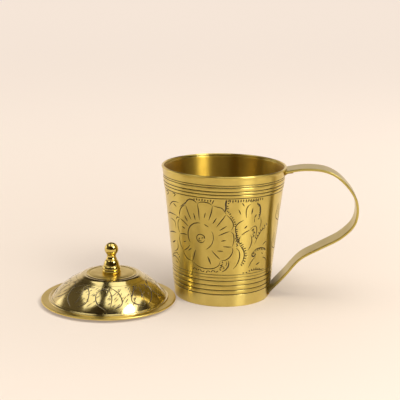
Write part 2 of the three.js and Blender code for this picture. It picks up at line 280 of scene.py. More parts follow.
_, wall_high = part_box("cup_wall")
cup_height = wall_high.z
lip_proud = 0.3 * mm
rim_radius = wall_high.x - lip_proud
foot_radius = 32.5 * mm
cup_wall = 1.5 * mm
wall_bow = 0.4 * mm
cup_round = 192
groove_half = 0.32 * mm
top_lines = cup_height - np.array([6.0, 7.3, 10.1, 12.2, 14.5]) * mm
foot_lines = np.array([8.7, 11.8, 15.1, 18.4, 20.7, 22.6]) * mm
line_depths = np.array([0.26, 0.26, 0.3, 0.3, 0.26] + [0.32, 0.3, 0.3, 0.26, 0.14, 0.14]) * mm
foot_beads = [(9.0, 11.8), (11.8, 15.1), (15.1, 18.4)]
top_beads = [(14.5, 12.2), (12.2, 10.1), (10.1, 7.5)]
bead_spans = [(low * mm, high * mm) for low, high in foot_beads]
bead_spans += [(cup_height - low * mm, cup_height - high * mm) for low, high in top_beads]
bead_crown = 0.3 * mm


def wall_radius(z):
    """A straight taper from foot to rim, hollowed by a parabola that is wall_bow deep at half height."""
    share = z / cup_height
    return foot_radius + (rim_radius - foot_radius) * share - 4 * wall_bow * share * (1 - share)


def wall_relief(z):
    """How far the turned work stands out of the plain wall: each bead a half sine across its span, each
    line a V as deep as line_depths says."""
    out = np.zeros_like(z)
    for low, high in bead_spans:
        share = np.clip((z - low) / (high - low), 0, 1)
        out += bead_crown * np.sin(np.pi * share) ** 0.8
    cut = np.zeros_like(z)
    for line, depth in zip(np.concatenate([top_lines, foot_lines]), line_depths):
        cut = np.maximum(cut, depth * np.clip(1 - np.abs(z - line) / groove_half, 0, 1))
    return out - cut, cut


lines = np.concatenate([top_lines, foot_lines])
near_lines = (lines[:, None] + groove_half * np.array([-1, -0.5, 0, 0.5, 1])).ravel()
across_beads = np.concatenate([np.linspace(low, high, 11) for low, high in bead_spans])
lip_radius = (cup_wall + lip_proud) / 2
outer_heights = np.unique(
    np.concatenate([np.arange(0.6 * mm, cup_height - 1.2 * mm, 1.2 * mm), near_lines, across_beads]).round(6)
)
relief, _ = wall_relief(outer_heights)
outside = np.stack([wall_radius(outer_heights) + relief, outer_heights], -1)
lip_turn = np.radians(np.linspace(-30, 210, 17))
lip_middle = np.array([rim_radius - cup_wall + lip_radius, cup_height - lip_radius])
lip = lip_middle + lip_radius * np.stack([np.cos(lip_turn), np.sin(lip_turn)], -1)
inner_heights = np.linspace(cup_height - 2.0 * mm, 0.4 * mm, 70)
inside = np.stack([wall_radius(inner_heights) - cup_wall, inner_heights], -1)
foot_turn = np.radians(np.linspace(-90, 0, 5))
foot_round = 0.35 * mm
foot_out = foot_radius - foot_round + foot_round * np.cos(foot_turn)
foot_edge = np.stack([foot_out, foot_round + foot_round * np.sin(foot_turn)], -1)
inner_edge = np.array([[foot_radius - cup_wall, 0.0]])
outline = np.vstack([foot_edge, outside, lip, inside, inner_edge])
wall_grid = turned(outline, cup_round)

# Hammering and hand polishing leave the sheet very slightly wavy.
ripple_depth = 0.02 * mm


def wall_ripple(angle, z):
    """Four sine ripples of different counts around the wall, each leaning a little with height."""
    rise = z / mm
    ripple = 0.5 * np.sin(5 * angle + 0.05 * rise) + 0.3 * np.sin(11 * angle - 0.11 * rise + 1.3)
    ripple = ripple + 0.3 * np.sin(8 * angle + 0.17 * rise + 2.1)
    return ripple_depth * (ripple + 0.25 * np.sin(17 * angle + 0.09 * rise))


angle = np.linspace(0, 2 * np.pi, cup_round, endpoint=False)
wall_grid[..., :2] *= (1 + wall_ripple(angle, outline[:, 1, None]) / outline[:, 0, None])[..., None]


def smooth_line(points, steps):
    """A centripetal Catmull-Rom curve through points: each stretch is a cubic whose end slopes come from the
    neighbouring points, weighted by the square root of their distances. Returned at equal steps along it."""
    points = np.asarray(points, float)
    padded = np.vstack([2 * points[0] - points[1], points, 2 * points[-1] - points[-2]])
    gap = np.sqrt(np.linalg.norm(np.diff(padded, axis=0), axis=1))[:, None]
    t = np.linspace(0, 1, 40, endpoint=False)[:, None]
    parts = []
    for k in range(1, len(padded) - 2):
        p0, p1, p2, p3 = padded[k - 1:k + 3]
        g0, g1, g2 = gap[k - 1:k + 2]
        m1 = ((p1 - p0) / g0 - (p2 - p0) / (g0 + g1) + (p2 - p1) / g1) * g1
        m2 = ((p2 - p1) / g1 - (p3 - p1) / (g1 + g2) + (p3 - p2) / g2) * g1
        square = 3 * (p2 - p1) - 2 * m1 - m2
        cube = 2 * (p1 - p2) + m1 + m2
        parts.append(p1 + m1 * t + square * t ** 2 + cube * t ** 3)
    curve = np.vstack(parts + [points[-1:]])
    along = np.concatenate([[0], np.cumsum(np.linalg.norm(np.diff(curve, axis=0), axis=1))])
    even = np.linspace(0, along[-1], steps)
    return np.stack([np.interp(even, along, curve[:, k]) for k in range(curve.shape[1])], -1)


# The engraving. A stroke is rows of [across, along, half its width] in millimetres on the unrolled wall:
# across runs round the wall from its front toward the handle, along is the height above the table.
wall_unit = 38.0
half_of_width = 0.72
tick_reach = 1.45
strokes = []


def line(width, *points, taper=0.35):
    """A smooth cut through points. It widens over the first part of its length, the share taper, and narrows
    over the same share at its end: half its width is half_of_width * width * (nearer end / taper) ** 0.6."""
    length = np.linalg.norm(np.diff(np.array(points, float), axis=0), axis=1).sum()
    path = smooth_line(points, max(4, int(length / 0.7)))
    share = np.linspace(0, 1, len(path))
    swell = np.clip(np.minimum(share, 1 - share) / taper, 0, 1) ** 0.6
    strokes.append(np.column_stack([path, half_of_width * width * swell]))


def vein(start, end, width=0.75):
    """A short deep cut, widest at its middle."""
    line(width, start, end, taper=0.5)


def ticks(length, spacing, lean, *points, width=0.6):
    """Short cuts at equal steps along a smooth path, each turned lean degrees from the path's left side.
    Their lengths swing by a sine, as a hand's do."""
    total = np.linalg.norm(np.diff(np.array(points, float), axis=0), axis=1).sum()
    path = smooth_line(points, max(3, int(total / spacing)))
    way = np.gradient(path, axis=0)
    turn = np.arctan2(way[:, 1], way[:, 0]) + np.radians(90 + lean)
    reach = tick_reach * length * (0.85 + 0.15 * np.sin(2.4 * np.arange(len(path))))[:, None]
    ends = path + reach * np.stack([np.cos(turn), np.sin(turn)], -1)
    for start, end in zip(path, ends):
        line(width, start, end, taper=0.3)


def scribble(swing, spacing, *points, width=0.48):
    """A zigzag of cuts that runs along a smooth path, swinging to each side of it in turn."""
    total = np.linalg.norm(np.diff(np.array(points, float), axis=0), axis=1).sum()
    path = smooth_line(points, max(4, int(total / spacing)))
    way = np.gradient(path, axis=0)
    side = np.stack([-way[:, 1], way[:, 0]], -1) / np.linalg.norm(way, axis=1)[:, None]
    zigzag = path + swing * side * np.where(np.arange(len(path)) % 2, 1, -1)[:, None]
    for start, end in zip(zigzag[:-1], zigzag[1:]):
        line(width, start, end, taper=0.3)


def curve(middle, radius, start, end, width=0.5, tall=1.0):
    """A cut along part of an ellipse, from one bearing to another in degrees."""
    turn = np.radians(np.linspace(start, end, 9))
    points = np.array(middle) + radius * np.stack([np.cos(turn), tall * np.sin(turn)], -1)
    line(width, *points, taper=0.15)


# The flower: a round middle with a small ring in it, and petals with a vein in each.
flower = (-14.2, 48.5)
curve(flower, 9.4, -65, 30, 0.42)
curve(flower, 9.4, 48, 72, 0.42)
curve(flower, 9.4, 85, 215, 0.6)
curve((-13.6, 47.3), 3.1, -10, 345, 0.46, 0.92)
vein((-15.2, 46.2), (-14.2, 47.9), 0.7)
vein((-12.9, 46.9), (-12.2, 48.6), 0.5)
vein((-11.4, 47.3), (-10.7, 49.3), 0.8)
line(0.4, (-16.2, 46.4), (-14.6, 45.6), (-12.6, 45.8))
line(0.6, (-24.2, 68.8), (-22.5, 64), (-20.2, 58.8))
line(0.6, (-15.2, 71.3), (-14.6, 66), (-14.2, 59.6))
line(0.6, (-5.2, 70.6), (-6.2, 65.5), (-7.9, 60))
line(0.55, (3.3, 64.8), (0.5, 60.6), (-2.9, 55.8))
line(0.55, (6.2, 53.4), (2.5, 52), (-1.7, 50))
line(0.5, (7.9, 42.3), (4.8, 42.5), (1.5, 42.9))
line(0.55, (-6.3, 40), (-3.2, 36.6), (0.2, 33.5))
line(0.5, (-17.8, 39.2), (-19.4, 34.5), (-20.6, 30.5))
line(0.5, (-22.2, 41.6), (-25, 38.6), (-29, 36.4))
line(0.5, (-23.8, 48), (-27.5, 48.3), (-31.5, 47.6))
line(0.5, (-22.8, 54.2), (-26.5, 56.8), (-30.4, 58.6))
line(0.6, (-24.2, 69), (-23.2, 71.6), (-20.4, 73.3), (-17.6, 72.8), (-15.2, 71))
line(0.5, (-15.2, 71), (-13.2, 72.2), (-10.2, 72.5), (-7.2, 71.9), (-5.2, 70.4))
line(0.5, (-5.2, 70.6), (-2.9, 69.9), (0.4, 69), (2.1, 67.2), (3.3, 64.8))
line(0.5, (3.3, 64.8), (5.8, 62.4), (7.8, 59.3), (8.1, 56.3), (6.6, 53.6))
line(0.5, (6.2, 53.4), (8.2, 51.6), (9, 48), (8.6, 44.6), (7.9, 42.3))
line(0.55, (7.9, 42.3), (8.5, 39.8), (7.4, 36.6), (5.2, 34.2), (2.8, 33.1), (0.2, 33.3))
line(0.5, (0.2, 33.3), (-1, 29.5), (-4.2, 27.4), (-9, 26.6), (-14, 27), (-18, 28.4), (-20.6, 30.5))
line(0.5, (-20.6, 30.5), (-24.4, 31), (-27.6, 33.2), (-29, 36.4))
line(0.5, (-29, 36.4), (-31.4, 39.4), (-32.4, 43.4), (-31.5, 47.6))
line(0.5, (-31.5, 47.6), (-33, 51.6), (-32.6, 55.8), (-30.4, 58.6))
line(0.55, (-30.4, 58.6), (-30, 63), (-27.6, 66.8), (-24.2, 69))
vein((-18.3, 64.6), (-17.1, 59.2))
vein((-9.8, 65.8), (-10.9, 61.3), 0.6)
vein((-2.5, 62.6), (-5.4, 57.9), 0.65)
vein((4.2, 57.1), (-1, 53.5), 0.6)
vein((0, 46.3), (4, 47.1), 0.65)
vein((-2.5, 39.6), (2.1, 39.4), 0.65)
vein((-9, 35.6), (-6.5, 29.6), 0.8)
vein((-25.8, 61.5), (-23.3, 57.4), 0.9)
vein((-21, 39.6), (-24.6, 37), 0.6)
vein((-29, 53.4), (-25.6, 52), 0.7)
vein((-28.6, 42.4), (-25.4, 43.6), 0.7)

# Ticks and scribbles in the corners round the flower.
line(0.5, (-4.2, 74.8), (-5.8, 71.2))
ticks(1.5, 1.5, -8, (-17.5, 72.8), (-12, 72.9), (-6.6, 72.7))
scribble(0.9, 1.4, (-1.2, 24.9), (-4.6, 25.3), (-8.4, 24.8), (-10.6, 24.1))
scribble(0.8, 1.5, (-11.4, 24.2), (-16.4, 25.2), (-21, 25.6))
scribble(1.0, 1.1, (2, 32.2), (1, 30.2), (1.6, 28.4), (3.2, 27.4))
scribble(0.8, 1.2, (0.2, 30), (0.6, 27.6), (-0.2, 26))
line(0.6, (5.4, 33.2), (6.1, 31.2), (5.6, 28.8), (3.8, 26.4), (0.8, 24.7))
line(0.4, (4.2, 32.6), (4.6, 30.6), (3.8, 28.8))

# The dark ladder that runs down between the flower and the leaf.
line(0.9, (3.4, 75), (2.9, 72), (3.1, 69.6), (2.6, 66.3), taper=0.2)
ticks(1.2, 1.4, 25, (3.9, 73.8), (3.6, 70), (3.4, 66.8))
ticks(1.3, 1.2, 20, (4.4, 65.6), (6.2, 62.8), (8.2, 59.6), (8.7, 56.2))
line(0.6, (10, 57.4), (9.6, 55), (10.2, 51.8), (10.8, 49.2), (11.6, 46.4), (12.5, 44.4))
ticks(1.4, 1.2, -15, (9.6, 54.6), (10, 51), (10.8, 48), (12, 45))
scribble(0.9, 0.9, (10.2, 50.4), (10.5, 47.4), (11.4, 44.4), (11.2, 42.4))
line(0.55, (10.4, 41.9), (12.6, 39.9), (13.6, 36.6), (13.2, 33.2), (12, 30.2), (10.2, 27.8), (8.8, 26.8))
line(0.6, (12.5, 44.4), (14.6, 41.8), (16.5, 38.8), (17, 35.6), (16.2, 32.4), (14.3, 29.5))
ticks(2.2, 1.3, -12, (12.6, 44), (14.6, 41.4), (16.4, 38.4), (16.8, 35.4), (16, 32.4), (14.6, 30.2))

# The leaf with three lobes, each with a vein, its right side fringed.
line(0.5, (13, 72.8), (14, 71.2), (15.1, 69.8))
line(0.55, (19.7, 71.6), (17.5, 70.3), (16.4, 68.2), (16.2, 65.4), (16.9, 61.6))
vein((11, 68.4), (12.9, 64.2), 0.65)
vein((20.8, 68.8), (20.2, 63.8), 0.75)
vein((24.1, 64.1), (22.5, 61.4), 0.85)
line(0.4, (22.7, 61.6), (22.7, 58))
line(0.85, (23.6, 71.6), (26, 69.2), (26.9, 65.6), (26.6, 61), taper=0.2)
ticks(1.9, 1.3, -140, (24, 72.2), (26.6, 69.6), (27.4, 65.6), (27.2, 61.4))
line(0.55, (15.2, 60.6), (12.4, 59.3), (10.2, 57.2), (9.8, 54.6))
vein((17.9, 56.9), (15.5, 54.5), 0.9)
line(0.55, (20.2, 53.6), (16.7, 52.1), (13.4, 50))
line(0.5, (13.4, 50), (12.4, 47.2), (12.8, 44.4))
line(0.55, (20.9, 50), (22.1, 45.8), (21.4, 42.4), (19.2, 38.8))
line(0.5, (20, 53.3), (21.6, 55), (23.9, 55.7), (25.2, 53.8), (25.3, 50.6), (24.1, 46.7))
scribble(1.2, 1, (21.2, 53.6), (22.8, 53), (23.2, 50.6), (22.6, 47.8))
line(0.45, (27.5, 61.8), (28.4, 57.4), (27.6, 53.2))
line(0.5, (34.8, 55.6), (32.4, 53.2), (30, 52), (27.8, 49.4), (26.2, 46.8), (24.2, 42.4))
ticks(1.5, 1.5, 160, (34, 54.8), (31, 52.6), (28, 49.8), (26, 46.4))

# The lower leaf on the right, its top edge hatched, with a curl at its tip.
curve((24.7, 35.8), 1.5, 60, 400, 0.7)
scribble(0.7, 0.9, (24, 36.8), (25.2, 35.6), (24.6, 34.2))
line(0.6, (23.6, 36.4), (25.4, 38.7), (28.2, 39.5), (31.6, 39.4), (35.2, 38.2), (37.6, 36))
ticks(1.3, 1.4, -170, (26, 38.9), (30, 39.5), (35, 38.2))
line(0.5, (26.6, 34.2), (23.8, 31.7), (22.1, 29.2), (21, 26.6))
vein((31.2, 29.4), (27.1, 27.9), 0.85)
vein((31.4, 36), (34, 34.9), 0.6)
line(0.5, (32.2, 41), (34, 42.6), (36.4, 43.2))
line(0.5, (33.4, 32.6), (36.4, 31.4), (39.2, 28.6))
vein((16.6, 23.7), (17.9, 23.6), 0.8)
vein((18.9, 23.7), (20.6, 23.6), 0.9)
line(0.45, (21.7, 23.9), (26.7, 24.7), (32.5, 23.8), (39, 23.7))
ticks(1.2, 1.5, 15, (22.4, 24), (27, 24.8), (32, 23.9))
ticks(2.0, 1.5, 178, (5.6, 75.1), (14, 75.1), (27.6, 75.1))
scribble(0.9, 1.2, (16.4, 73.6), (20, 73.2), (24, 73.4))

# The leaves left of the flower.
line(0.6, (-47.5, 73.4), (-44.6, 74.2), (-41.8, 74.4))
line(0.6, (-45.6, 71.3), (-43.4, 72.8), (-41.4, 74))
line(0.55, (-37, 74.6), (-33.2, 74.4), (-35.6, 72))
line(0.55, (-44.2, 63.3), (-40.2, 66.6), (-36.2, 68.8), (-30, 69.2))
vein((-36.8, 67.7), (-32.8, 65.7), 0.8)
line(0.55, (-29.8, 66.4), (-25.2, 69.4), (-22.6, 71.8), (-20.4, 74))
line(0.45, (-29.8, 63.6), (-31, 61.2))
line(0.6, (-48, 57), (-45.2, 59.2), (-40, 59.8), (-33.6, 59.6))
line(0.6, (-35, 56.6), (-33.4, 58.6), (-30.4, 58.8))
line(0.5, (-43.3, 56), (-39, 55.6), (-36.6, 54.6), (-36.2, 50))
line(0.6, (-48.8, 44.7), (-44, 46.2), (-40, 47), (-35.8, 47.2))
vein((-43.8, 38.5), (-37.9, 41.3), 0.85)
line(0.5, (-35.4, 42.5), (-35.3, 37), (-37.9, 34.5), (-41.8, 33.3))
ticks(1.5, 1.5, 170, (-47, 30), (-42, 32.4), (-37, 33.6), (-34, 31))
line(0.55, (-48, 27), (-42, 29.6), (-37, 28.6), (-33, 25.4))
vein((-41, 26.6), (-36.6, 25.6), 0.7)

# A spray of three leaves behind the handle, and the whole frieze again on the other half of the wall.
for lean, tip in ((-1, 68), (1, 62), (-1, 48), (1, 40)):
    line(0.55, (54.5, tip - 20 + 6), (54.5 + 5 * lean, tip - 8), (54.5 + 8 * lean, tip))
    line(0.5, (54.5, tip - 20 + 6), (54.5 + 9 * lean, tip - 10), (54.5 + 8 * lean, tip))
    vein((54.5 + 4.6 * lean, tip - 9.5), (54.5 + 7 * lean, tip - 3.5), 0.7)
line(0.6, (54, 26), (55, 40), (53.6, 54), (54.8, 66), (54, 73))
half_turn = np.pi * wall_unit
strokes = [stroke + [shift, 0, 0] for shift in (0, half_turn) for stroke in strokes]


def engrave(strokes, low_ring, high_ring, to_plane, from_plane, skin, extra_rings):
    """A panel of the surface skin with V-shaped cuts in it, between two rings of points. The cuts' middle
    and side lines are laid in a flat plan with a net of background points, extra_rings, and joined up into
    triangles. Only those whose middle lies between the two rings, both circles round the plan's middle, are
    kept. A point's depth falls in a straight line from the nearest cut's middle to nothing at half its
    width; the middle is cut_slope of that half width deep, and cut_deepest millimetres at most."""
    cut_slope = 0.7
    cut_deepest = 0.22
    middle_share = 1.02
    least_share = 0.05
    batch = 2000
    ring_count = len(low_ring)
    plan, lines_in = [low_ring, high_ring, *extra_rings], []
    for start in (0, ring_count):
        lines_in += [(start + k, start + (k + 1) % ring_count) for k in range(ring_count)]
    count = sum(len(part) for part in plan)
    middles = []
    for stroke in strokes:
        way = np.gradient(stroke[:, :2], axis=0)
        side = np.stack([-way[:, 1], way[:, 0]], -1) / np.linalg.norm(way, axis=1)[:, None] * stroke[:, 2:]
        for track in (stroke[:, :2], stroke[:, :2] + side, stroke[:, :2] - side):
            plan.append(to_plane(track))
            lines_in += [(count + k, count + k + 1) for k in range(len(track) - 1)]
            count += len(track)
        fine = np.linspace(0, len(stroke) - 1, 3 * len(stroke) - 2)
        steps = np.arange(len(stroke))
        middles.append(np.stack([np.interp(fine, steps, stroke[:, k]) for k in range(3)], -1)[1:-1])
    plan = np.vstack(plan)
    found, _, triangles, sources, _, _ = delaunay_2d_cdt(
        [Vector(point) for point in plan.tolist()], lines_in, [], 0, 1e-7
    )
    found = np.array([tuple(point) for point in found])
    ring_of = np.array([min((k for k in held if k < 2 * ring_count), default=-1) for held in sources])
    triangles = np.array([tri for tri in triangles if len(tri) == 3])
    out = np.linalg.norm(found[triangles].mean(1), axis=1) / math.cos(math.pi / ring_count)
    inner, outer = (np.linalg.norm(ring, axis=1).mean() for ring in (low_ring, high_ring))
    triangles = triangles[(out > inner) & (out < outer)]
    flat = from_plane(found)
    middles = np.vstack(middles)
    bed = skin(middles[:, 0], middles[:, 1]) / mm
    top = skin(flat[:, 0], flat[:, 1]) / mm
    share = np.zeros(len(top))
    depth = np.zeros(len(top))
    for part in np.array_split(np.arange(len(top)), 1 + len(top) // batch):
        gaps = (top[part] ** 2).sum(1)[:, None] + (bed ** 2).sum(1)[None] - 2 * top[part] @ bed.T
        nearest = gaps.argmin(1)
        gap = np.sqrt(np.clip(gaps[np.arange(len(part)), nearest], 0, None))
        half = middles[nearest, 2]
        share[part] = np.clip(middle_share - gap / half, 0, 1)
        depth[part] = share[part] * np.minimum(cut_slope * half, cut_deepest)
    share[(ring_of >= 0) | (share < least_share)] = 0
    depth[share == 0] = 0
    step = 0.02
    across = skin(flat[:, 0] + step, flat[:, 1]) - skin(flat[:, 0] - step, flat[:, 1])
    along = skin(flat[:, 0], flat[:, 1] + step) - skin(flat[:, 0], flat[:, 1] - step)
    normal = np.cross(across, along)
    normal /= np.linalg.norm(normal, axis=1)[:, None]
    cut_top = top * mm - normal * (depth * mm)[:, None]
    a, b, c = (cut_top[triangles[:, k]] for k in range(3))
    facing = np.cross(b - a, c - a)
    if np.einsum("ij,ij->", facing, normal[triangles[:, 0]]) < 0:
        triangles, facing = triangles[:, ::-1], -facing
    facing /= np.maximum(np.linalg.norm(facing, axis=1), 1e-20)[:, None]
    plain = share[triangles].max(1) == 0
    shading = np.where(plain[:, None, None], normal[triangles], facing[:, None, :])
    return {"points": cut_top, "faces": triangles, "normals": shading, "share": share, "ring": ring_of}


def wall_plane(flat):
    """The unrolled wall wound round a middle so that shapes keep their form: the distance out is the
    exponential of the height."""
    out = np.exp((flat[:, 1] - panel_low) / wall_unit)
    return np.stack([out * np.cos(flat[:, 0] / wall_unit), out * np.sin(flat[:, 0] / wall_unit)], -1)


def wall_flat(plane):
    """Back from the wound plan to [across, along] in millimetres."""
    turn = np.arctan2(plane[:, 1], plane[:, 0])
    out = np.hypot(plane[:, 0], plane[:, 1])
    return np.stack([turn * wall_unit, panel_low + wall_unit * np.log(out)], -1)


def wall_skin(across, along):
    """The plain wall with its ripples, from millimetres across and along; across is 0 at the front."""
    bearing = across / wall_unit - np.pi / 2
    z = along * mm
    r = wall_radius(z) + wall_ripple(bearing, z)
    return np.stack([r * np.cos(bearing), r * np.sin(bearing), z], -1)


panel_foot = 22.9 * mm
panel_head = 75.1 * mm
panel_row = len(foot_edge) + int(np.searchsorted(outer_heights, panel_foot))
panel_end = len(foot_edge) + int(np.searchsorted(outer_heights, panel_head))
keep = np.concatenate([np.arange(panel_row + 1), np.arange(panel_end, len(outline))])
panel_low, panel_high = outline[panel_row, 1] / mm, outline[panel_end, 1] / mm
wall_grid, outline = wall_grid[keep], outline[keep]
ring_across = (angle + np.pi / 2) * wall_unit
net_across = np.linspace(0, 2 * np.pi * wall_unit, cup_round, endpoint=False)
net = [
    wall_plane(np.stack([net_across + 0.6 * (k % 2), np.full(cup_round, z)], -1))
    for k, z in enumerate(np.linspace(panel_low, panel_high, 36)[1:-1])
]
rings = [wall_plane(np.stack([ring_across, np.full(cup_round, z)], -1)) for z in (panel_low, panel_high)]
frieze = engrave(strokes, *rings, wall_plane, wall_flat, wall_skin, net)


def seat(panel, first, second, columns, total):
    """Numbers a panel's points for the whole mesh: those on its rings are the grid's own points."""
    ring = panel["ring"]
    own = ring < 0
    number = np.where(ring < columns, first * columns + ring, second * columns + ring - columns)
    number[own] = total + np.arange(own.sum())
    panel["faces"] = number[panel["faces"]]
    panel["points"] = panel["points"][own]
    panel["share"] = panel["share"][own]


seat(frieze, panel_row, panel_row + 1, cup_round, wall_grid[..., 0].size)
frieze["row"] = panel_row

# Polished on the lathe: each light becomes an upright band with soft edges, and the engraving stays dark.
wall_brass = brass(
    "Polished turned brass wall", "#E0CA6E", "#D4BC60", roughness=0.28, satin=0.35, grain_axis=2,
    grain_mm=0.12, anisotropic=1.0, coat=0.15,
)

# Left as the tool cut it, with no lacquer: duller, with one broad bright streak. Its deeper colour is
# painted shade, for the shaded inside of the cup.
shaded_inner_brass = brass(
    "Turned brass inside with painted shade", "#D6B24A", "#C29E3A", roughness=0.40, satin=0.48,
    grain_axis=2, grain_mm=0.3, anisotropic=1.0, coat=0.0,
)

# The foot band: the wall's upright bands in a paler, cleaner yellow. The paler colour is painted light, for
# the bright floor that the foot reflects.
lit_foot_brass = brass(
    "Polished foot band with painted highlight", "#F0DC84", "#E8D276", roughness=0.29, satin=0.34, grain_axis=2,
    grain_mm=0.12, anisotropic=1.0, coat=0.15,
)
wall = surface(
    "turned_wall", wall_grid, "mug", ["cup_wall"],
    [wall_brass, shaded_inner_brass, lit_foot_brass], engraved=frieze,
)
inside_rows = len(outline) - len(inside) - 1
made_of = np.zeros(len(wall.data.polygons), np.int32)
made_of[(inside_rows - 1) * cup_round:(len(outline) - 1) * cup_round] = 1
made_of[:int(np.searchsorted(outline[:inside_rows, 1], foot_lines[0])) * cup_round] = 2
wall.data.polygons.foreach_set("material_index", made_of)
_, cut = wall_relief(outline[:, 1])

# The turned lines and the engraved cuts, from their edges in, are darkened: old polish in them, and painted
# shade of these narrow cuts.
cut_polish_and_shade = np.clip(cut / (0.2 * mm), 0, 1) * (np.arange(len(outline)) < inside_rows)
soil_and_shade(wall, np.concatenate([np.repeat(cut_polish_and_shade, cup_round) * 0.8, frieze["share"] * 2.2]))

# ------------------
# The base plate and its solder: a brass disc let flush into the foot, with a smooth ring of solder
# run round the inside corner.
# ------------------

_, base_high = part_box("cup_base")
base_radius = base_high.x + 0.1 * mm
base_centre, base_hollow, base_ease = 0.01 * mm, 0.25 * mm, 0.2 * mm
base_outline = [[base_centre, base_hollow], [base_radius - 4.6 * mm, base_hollow]]
base_outline += [[base_radius - 4.0 * mm, 0.0], [base_radius - base_ease, 0.0], [base_radius, base_ease]]
base_outline += [[base_radius, base_high.z], [base_centre, base_high.z]]
base_grid = turned(np.array(base_outline), 128)

# Faced flat and hardly polished: a plain yellow, a little dull, with faint straight scratches.
base_brass = brass(
    "Turned brass base plate", "#D9BE58", "#C6A748", roughness=0.29, satin=0.36, grain_axis=0, grain_mm=0.15
)
surface("base_plate", base_grid, "mug", ["cup_base"], [base_brass], poles=True)

_, solder_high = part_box("base_solder")
bend = np.radians(np.linspace(0, 90, 9))
leg = 1.25 * mm
corner = np.array([solder_high.x + 0.05 * mm, base_high.z])
hollow = corner + np.stack([-leg + leg * np.sin(bend) * 0.8, leg * (1 - np.cos(bend))], -1)
ring_outline = np.vstack(
    [corner + [0.2 * mm, -0.1 * mm], corner + [-leg, -0.1 * mm], hollow, corner + [0.2 * mm, leg]]
)

# Flowed by heat and filed back: browner than the sheet, with small clouds of colour and an uneven gloss.
solder_brass = brass(
    "Brazing solder", "#CDAF48", "#A98930", roughness=0.29, satin=0.4, grain_axis=1, grain_mm=0.8,
    wear_mm=2.0,
)
surface("base_solder_ring", turned(ring_outline, 128), "mug", ["base_solder"], [solder_brass])

# ------------------
# The strap handle: a rolled brass strip 18 mm wide, its edges eased with a file, bent by hand into a
# loop and soldered to the wall under the lip and just over the foot.
# ------------------

strap_low, strap_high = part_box("handle_strap")
strap_width = strap_high.y - strap_low.y
strap_thickness = 1.6 * mm
strap_upper = np.array([[12.6, 0.5], [26.4, 1.5], [37.0, 6.7], [49.6, 20.9]]) * mm
strap_lower = np.array([[51.4, 54.4], [44.4, 44.3], [30.4, 35.4], [18.0, 27.5], [8.9, 15.4]]) * mm
strap_top_drop, strap_foot_rise, strap_sink = 2.7 * mm, 4.2 * mm, 0.9 * mm
upper_height = cup_height - strap_upper[:, 1]
upper = np.stack([wall_radius(upper_height) + strap_upper[:, 0], upper_height], -1)
lower = np.stack([wall_radius(strap_lower[:, 1]) + strap_lower[:, 0], strap_lower[:, 1]], -1)
top_end = [wall_radius(cup_height - strap_top_drop) - strap_sink, cup_height - strap_top_drop]
foot_end = [wall_radius(strap_foot_rise) - strap_sink, strap_foot_rise - strap_sink]
strap_line = smooth_line(np.vstack([top_end, upper, lower, foot_end]), 200)

edge_round = 0.45 * mm
quarter = np.radians(np.linspace(0, 90, 5))
corner_x, corner_y = edge_round * np.cos(quarter), edge_round * np.sin(quarter)
half_w, half_t = strap_width / 2 - edge_round, strap_thickness / 2 - edge_round
corners = [
    np.stack([half_w + corner_x, half_t + corner_y], -1),
    np.stack([-half_w - corner_y, half_t + corner_x], -1),
    np.stack([-half_w - corner_x, -half_t - corner_y], -1),
    np.stack([half_w + corner_y, -half_t - corner_x], -1),
]
face = np.linspace(1, -1, 12)[1:-1, None] * [half_w, 0]
face_up = [0, half_t + edge_round]
section = np.vstack([corners[0], face + face_up, corners[1], corners[2], -face - face_up, corners[3]])

way = np.gradient(strap_line, axis=0)
way /= np.linalg.norm(way, axis=1)[:, None]
outward = np.stack([-way[:, 1], way[:, 0]], -1)
station = np.linspace(0, 1, len(strap_line))[:, None]
side = section[:, 0] * (1 - 0.008 * (1 + np.cos(9 * station)))
lift = section[:, 1] - 0.05 * mm * (1.6 + np.sin(21 * station + section[:, 0] / (5 * mm)))
strap_x = strap_line[:, None, 0] + outward[:, None, 0] * lift
strap_z = strap_line[:, None, 1] + outward[:, None, 1] * lift
strap_grid = np.stack([strap_x, side, strap_z], -1)

# Rolled smooth and rubbed by hand: a greener, quieter yellow with faint lines along the strip.
strap_brass = brass(
    "Rolled brass strip", "#CBBA66", "#BCA956", roughness=0.29, satin=0.36, grain_axis=1, grain_mm=0.5,
    wear_mm=14.0, coat=0.2,
)
strap = surface(
    "strap_handle", strap_grid, "mug", ["handle_strap"], [strap_brass], poles=True,
)

# Painted shade: the strap's last stretch, down to the solder at its foot, is darkened for the shaded wall it
# faces and reflects there.
painted_foot_shade = np.clip((station - 0.83) / 0.14, 0, 1) * 0.42
soil_and_shade(strap, np.repeat(painted_foot_shade, len(section)))

# ------------------
# The handle's solder: a filed fillet under the strap at the rim, and a smaller one at the foot.
# ------------------


def fillet(name, corner, down, out, lean, node):
    """A fillet's hollow three-sided section, in the plane of the handle, carried across the strap. It
    shrinks toward each end by the root of 1 - share ** 6, and sines make its face uneven by up to an
    eighth of its size."""
    half = strap_width / 2 - 0.3 * mm
    share = np.linspace(-1, 1, 41)[:, None]
    size = np.sqrt(np.clip(1 - share ** 6, 0.02, 1))
    t = np.linspace(0, 1, 11)
    reach = out * t ** 1.7
    drop = -down * (1 - t) ** 1.5 + lean * reach
    x = np.concatenate([[-1.0 * mm], [-1.0 * mm], reach, [out]])
    z = np.concatenate([[0.4 * mm], [-down], drop, [lean * out + 0.4 * mm]])
    lump = 1 + 0.07 * np.sin(9 * share + 3 * x / mm) + 0.05 * np.sin(23 * share + 1.0)
    grid = np.stack([corner[0] + x * size * lump, share * half + 0 * x, corner[1] + z * size * lump], -1)
    surface(name, grid, "mug", [node], [solder_brass], poles=True)


top_corner = cup_height - strap_top_drop - strap_thickness / 2
top_place = (wall_radius(top_corner), top_corner)
fillet("solder_at_rim", top_place, 1.7 * mm, 5.0 * mm, 0.02, "handle_top_solder")
foot_corner = strap_foot_rise - strap_thickness / 2
foot_place = (wall_radius(foot_corner), foot_corner)
fillet("solder_at_foot", foot_place, 2.4 * mm, 2.2 * mm, 1.0, "handle_foot_solder")

